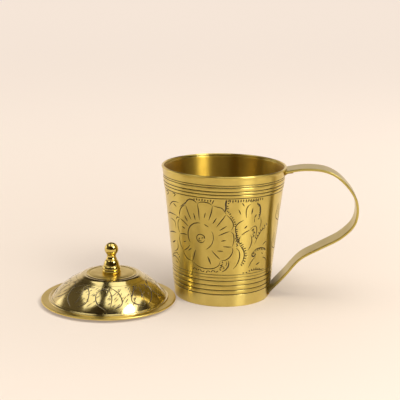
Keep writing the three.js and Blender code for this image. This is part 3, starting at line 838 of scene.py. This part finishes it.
# ------------------
# The lid: one brass sheet raised by hand into a dome with a flat turned disc on top and a flat satin
# brim. A half-round bead marks the foot of the dome. The crown leans a little toward the cup's handle.
# ------------------

lid_low, lid_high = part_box("lid_dome")
lid_x, lid_y = (lid_low.x + lid_high.x) / 2, (lid_low.y + lid_high.y) / 2
lid_radius = (lid_high.x - lid_low.x) / 2
lid_thickness = 1.3 * mm
brim_under = lid_low.z
brim_top = brim_under + lid_thickness
disc_top = lid_high.z
dome_foot = 38.7 * mm
shoulder_radius, shoulder_drop = 21 * mm, 1.5 * mm
crown_lean = 2 * mm
shoulder_top = disc_top - shoulder_drop
dome_run, dome_rise = dome_foot - shoulder_radius, shoulder_top - brim_top
dome_slant = math.hypot(dome_run, dome_rise)


def dome_side(share, out):
    """A straight cone from foot to shoulder, swollen by a half sine, moved out along its slope's normal."""
    swell = 1.5 * mm * np.sin(np.pi * share) + out
    radius = dome_foot - dome_run * share + swell * dome_rise / dome_slant
    return np.stack([radius, brim_top + dome_rise * share + swell * dome_run / dome_slant], -1)


def place_lid(points):
    """Slides points toward the handle in proportion to their height in the dome, then to the lid's place."""
    lean = np.clip((points[..., 2] - brim_top) / dome_rise, 0, 1)
    return points + np.stack([lid_x + crown_lean * lean, lid_y + 0 * lean, 0 * lean], -1)


def dome_dents(angle, r):
    """The hammer's traces, as three crossing sine ripples that fade out at the dome's foot and shoulder."""
    dents = 0.6 * np.sin(7 * angle + 0.21 * r) + 0.4 * np.sin(13 * angle - 0.33 * r + 0.7)
    dents = dents + 0.5 * np.sin(23 * angle + 0.6 * r)
    return 0.05 * mm * dents * np.clip((r - 21.5) / 3, 0, 1) * np.clip((38 - r) / 2, 0, 1)


share = np.linspace(0.03, 0.97, 60)
inner_top = disc_top - lid_thickness
inner_disc = [[1.7 * mm, inner_top], [16.5 * mm, inner_top]]
inner_skin = np.vstack([*inner_disc, dome_side(share[::-1], -lid_thickness)])
edge_turn = np.radians(np.linspace(-90, 90, 11))
half_edge = lid_thickness / 2
edge_out = lid_radius - half_edge + half_edge * np.cos(edge_turn)
brim_edge = np.stack([edge_out, brim_under + half_edge * (1 + np.sin(edge_turn))], -1)
bead_turn = np.radians(np.linspace(0, 180, 11))
bead_middle, bead_half, bead_rise = dome_foot + 0.75 * mm, 0.75 * mm, 0.7 * mm
bead_out = bead_middle + bead_half * np.cos(bead_turn)
foot_bead = np.stack([bead_out, brim_top + bead_rise * np.sin(bead_turn)], -1)
brim_run = np.linspace(lid_radius - 0.7 * mm, bead_middle + 0.8 * mm, 10)
brim_face = np.stack([brim_run, np.full(len(brim_run), brim_top)], -1)

# The crown as [radius, how far below its top] in millimetres: the shoulder, then the disc with its groove.
shoulder = [[20.9, 1.4], [20.5, 1.08], [19.8, 0.72], [18.9, 0.42], [18.0, 0.22], [17.8, 0.3], [17.6, 0.16]]
shoulder += [[16.6, 0.05]]
disc_line = [[15.5, 0.0], [15.2, 0.1], [14.95, 0.22], [14.7, 0.1], [14.4, 0.0]]
disc_line += [[10, 0.02], [5.5, 0.0], [1.7, 0.0]]
crown = np.array(shoulder + disc_line) * mm
crown[:, 1] = disc_top - crown[:, 1]
below = [inner_skin, [[dome_foot - lid_thickness, brim_under]]]
lid_outline = np.vstack([*below, brim_edge, brim_face, foot_bead, dome_side(share, 0), crown])
lid_round = 240
lid_angle = np.linspace(0, 2 * np.pi, lid_round, endpoint=False)
lid_grid = turned(lid_outline, lid_round)
brim_start = sum(len(part) for part in below)
dome_start = brim_start + len(brim_edge) + len(brim_face) + len(foot_bead)
dome_end = dome_start + len(share)

# The engraved leaves round the dome. A stroke here is in plan, in millimetres from the lid's middle.
strokes = []


def at(bearing, radius):
    """A point in plan at a bearing in degrees from the front toward the handle, radius millimetres out."""
    turn = math.radians(bearing)
    return (radius * math.sin(turn), -radius * math.cos(turn))


chaser = np.random.default_rng(11)
innermost = 24.2
for k in range(9):
    middle = 9 + 40 * k
    sway = 5 if k % 2 else -4
    tip = at(middle + sway, 23.6)
    line(0.5, at(middle - 3, 37), at(middle - 15, 33.5), at(middle - 15 + sway, 28.5), tip)
    line(0.5, at(middle + 3, 37), at(middle + 13, 34), at(middle + 15 + sway, 29), tip)
    line(0.45, at(middle, 36.5), at(middle + 1.5, 31), at(middle + sway, 25))
    for radius in (35.6, 34.0, 32.6, 31.0, 29.6, 28.2, 26.8, 25.6):
        for step in (-17, -13, -9, -5, -1, 3, 7, 11, 15, 19):
            place = middle + step + chaser.uniform(-1.8, 1.8)
            out = radius + chaser.uniform(-0.8, 0.8)
            long = chaser.uniform(0.8, 2.4)
            if chaser.random() < 0.42:
                end = at(place + 2.6 * long, max(out - 1.1 * long, innermost))
                vein(at(place, out), end, chaser.uniform(0.3, 0.52))

cone_table = dome_side(np.linspace(1, 0, 200), 0)


def dome_skin(x, y):
    """The plain dome with its dents over a plan point: its height comes from the outline at that radius."""
    r = np.hypot(x, y)
    height = np.interp(r * mm, cone_table[:, 0], cone_table[:, 1]) + dome_dents(np.arctan2(y, x), r)
    return place_lid(np.stack([x * mm, y * mm, height], -1))


on_dome = (np.arange(len(lid_outline)) >= dome_start)[:, None]
lid_grid[..., 2] += dome_dents(lid_angle, lid_outline[:, 0, None] / mm) * on_dome
outer_row, inner_row = dome_start + 2, dome_end - 6
plan_rings = [lid_grid[row, :, :2] / mm for row in (inner_row, outer_row)]
radii = [lid_outline[row, 0] / mm for row in (inner_row, outer_row)]

# The net's rings, every second one turned by about half a step so that its triangles are even.
half_step = 0.5 / lid_round * 6.28
net = []
for k, radius in enumerate(np.linspace(*radii, 14)[1:-1]):
    turn = lid_angle + (k % 2) * half_step
    net.append(radius * np.stack([np.cos(turn), np.sin(turn)], -1))
leaves = engrave(strokes, *plan_rings, np.array, np.array, dome_skin, net)
keep = np.concatenate([np.arange(outer_row + 1), np.arange(inner_row, len(lid_outline))])
lid_grid, lid_outline = lid_grid[keep], lid_outline[keep]
seat(leaves, outer_row + 1, outer_row, lid_round, lid_grid[..., 0].size)
leaves["row"] = outer_row

# Buffed bright under lacquer: it shows the softboxes as pale patches with hard edges, bent by the dents.
lid_brass = brass(
    "Raised and polished brass lid", "#DCCA8C", "#CCB870", roughness=0.11, satin=0.19, grain_axis=2,
    grain_mm=0.15, coat=0.5,
)

# The brim and the flat disc are brushed and not lacquered: an even, warm satin with no clear reflection.
brim_brass = brass(
    "Brushed brass brim", "#EED67C", "#E2C86A", roughness=0.29, satin=0.36, grain_axis=0, grain_mm=0.3,
    coat=0.0,
)
lid = surface(
    "domed_lid", place_lid(lid_grid), "lid", ["lid_dome"], [lid_brass, brim_brass],
    engraved=leaves,
)
made_of = np.zeros(len(lid.data.polygons), np.int32)
made_of[brim_start * lid_round:(dome_start - len(foot_bead)) * lid_round] = 1
made_of[(len(lid_outline) - len(disc_line) - 2) * lid_round:(len(lid_outline) - 1) * lid_round] = 1
lid.data.polygons.foreach_set("material_index", made_of)

# The disc's groove, the corner at the dome's foot and the engraving are darkened: old polish in them, and
# painted shade of these hollows.
lid_polish_and_shade = np.zeros(len(lid_outline))
lid_polish_and_shade[-7:-4] = [0.15, 0.35, 0.15]
lid_polish_and_shade[dome_start - 1] = 0.2
soil_and_shade(lid, np.concatenate([np.repeat(lid_polish_and_shade, lid_round), leaves["share"] * 1.8]))

# ------------------
# The locating ring: a brass hoop soldered under the brim, which drops into the cup's mouth.
# ------------------

ring_low, ring_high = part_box("lid_spigot_ring")
ring_radius = (ring_high.x - ring_low.x) / 2
ring_wall = 1.5 * mm
round_off = 0.25 * mm
ring_inner = ring_radius - ring_wall
hoop = [[ring_inner + round_off, 0], [ring_radius - round_off, 0], [ring_radius, round_off]]
hoop += [[ring_radius, brim_under], [ring_inner, brim_under], [ring_inner, round_off]]
hoop_grid = place_lid(turned(np.array(hoop), 128))
surface("locating_ring", hoop_grid, "lid", ["lid_spigot_ring"], [lid_brass])
bead_section = np.array(
    [[0, -0.95], [0.3, -0.55], [0.9, -0.1], [0.95, 0.05], [-0.1, 0.05], [-0.1, -0.95]]
) * mm
bead_section += [ring_radius, brim_under]
bead_grid = place_lid(turned(bead_section, 128))
surface("locating_ring_solder", bead_grid, "lid", ["lid_spigot_solder"], [solder_brass])

# ------------------
# The knob: cast brass, turned to a bell with steps, a neck and a ball, and polished bright.
# ------------------

knob_low, knob_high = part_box("knob")
knob_x, knob_y = (knob_low.x + knob_high.x) / 2, (knob_low.y + knob_high.y) / 2
ball_radius, ball_height = 4.6 * mm, 16 * mm
bell = smooth_line(np.array([[5.9, 0], [6.3, 0.6], [6.3, 1.9], [6.05, 2.4]]) * mm, 12)
swell = smooth_line(np.array([[6.05, 2.4], [6.22, 3.1], [5.8, 4.6], [5.35, 4.95]]) * mm, 12)
cove = smooth_line(np.array([[5.35, 4.95], [5.2, 5.9], [4.8, 7.2], [4.1, 8.5], [3.5, 8.85]]) * mm, 16)
neck = smooth_line(np.array([[3.5, 8.85], [3.65, 9.3], [3.6, 9.8], [3.2, 10.5], [3.0, 11.2]]) * mm, 14)
start = -math.acos(3.0 * mm / ball_radius)
ball_turn = np.linspace(start, math.pi / 2, 40)[1:-1]
ball = np.stack([ball_radius * np.cos(ball_turn), ball_height + ball_radius * np.sin(ball_turn)], -1)
knob_outline = np.vstack([[[0.02 * mm, 0]], bell, swell[1:], cove[1:], neck[1:], ball])
knob_grid = turned(knob_outline, 96) + [knob_x, knob_y, knob_low.z - 0.1 * mm]

# Cast, turned and polished hard: small sharp lights and dark bands that pick out its steps and ball.
knob_brass = brass(
    "Turned cast brass", "#DCC872", "#CEB45A", roughness=0.07, satin=0.13, grain_axis=2, grain_mm=0.1
)
surface("ball_knob", knob_grid, "lid", ["knob"], [knob_brass], poles=True)

# ------------------
# The knob's screw and washer, under the lid: a stamped washer and a slotted brass screw.
# ------------------

washer_low, washer_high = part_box("knob_washer")
washer_radius = (washer_high.x - washer_low.x) / 2
washer_bore, washer_ease, washer_top = 1.6 * mm, 0.2 * mm, washer_high.z + 0.1 * mm
washer_outline = [[washer_bore, washer_low.z], [washer_radius - washer_ease, washer_low.z]]
washer_outline += [[washer_radius, washer_low.z + washer_ease], [washer_radius, washer_top]]
washer_outline += [[washer_bore, washer_top]]

# Left as stamped, since nobody sees it: a plain deeper yellow with a dull gloss.
under_brass = brass(
    "Stamped brass fixings", "#D1B555", "#B79A40", roughness=0.29, satin=0.36, grain_axis=0, grain_mm=0.3
)
washer_grid = turned(np.array(washer_outline), 64) + [knob_x, knob_y, 0]
surface("stamped_washer", washer_grid, "lid", ["knob_washer"], [under_brass])
screw_low, screw_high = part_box("knob_screw")
head_radius = (screw_high.x - screw_low.x) / 2
across = np.linspace(0.02, 1, 24)
head_face = np.stack([head_radius * across, screw_low.z + 0.7 * mm * across ** 4], -1)
shank_radius = 1.5 * mm
shank = [[head_radius, washer_low.z], [shank_radius, washer_low.z]]
shank += [[shank_radius, screw_high.z], [0.02 * mm, screw_high.z]]
screw_grid = turned(np.vstack([head_face, shank]), 96)
slot_half, slot_depth = 0.4 * mm, 0.7 * mm
in_slot = (np.abs(screw_grid[..., 1]) < slot_half) & (screw_grid[..., 2] < screw_low.z + 0.75 * mm)
screw_grid[..., 2] += np.where(in_slot, slot_depth, 0)
surface(
    "slotted_screw", screw_grid + [knob_x, knob_y, 0], "lid", ["knob_screw"],
    [under_brass], poles=True,
)
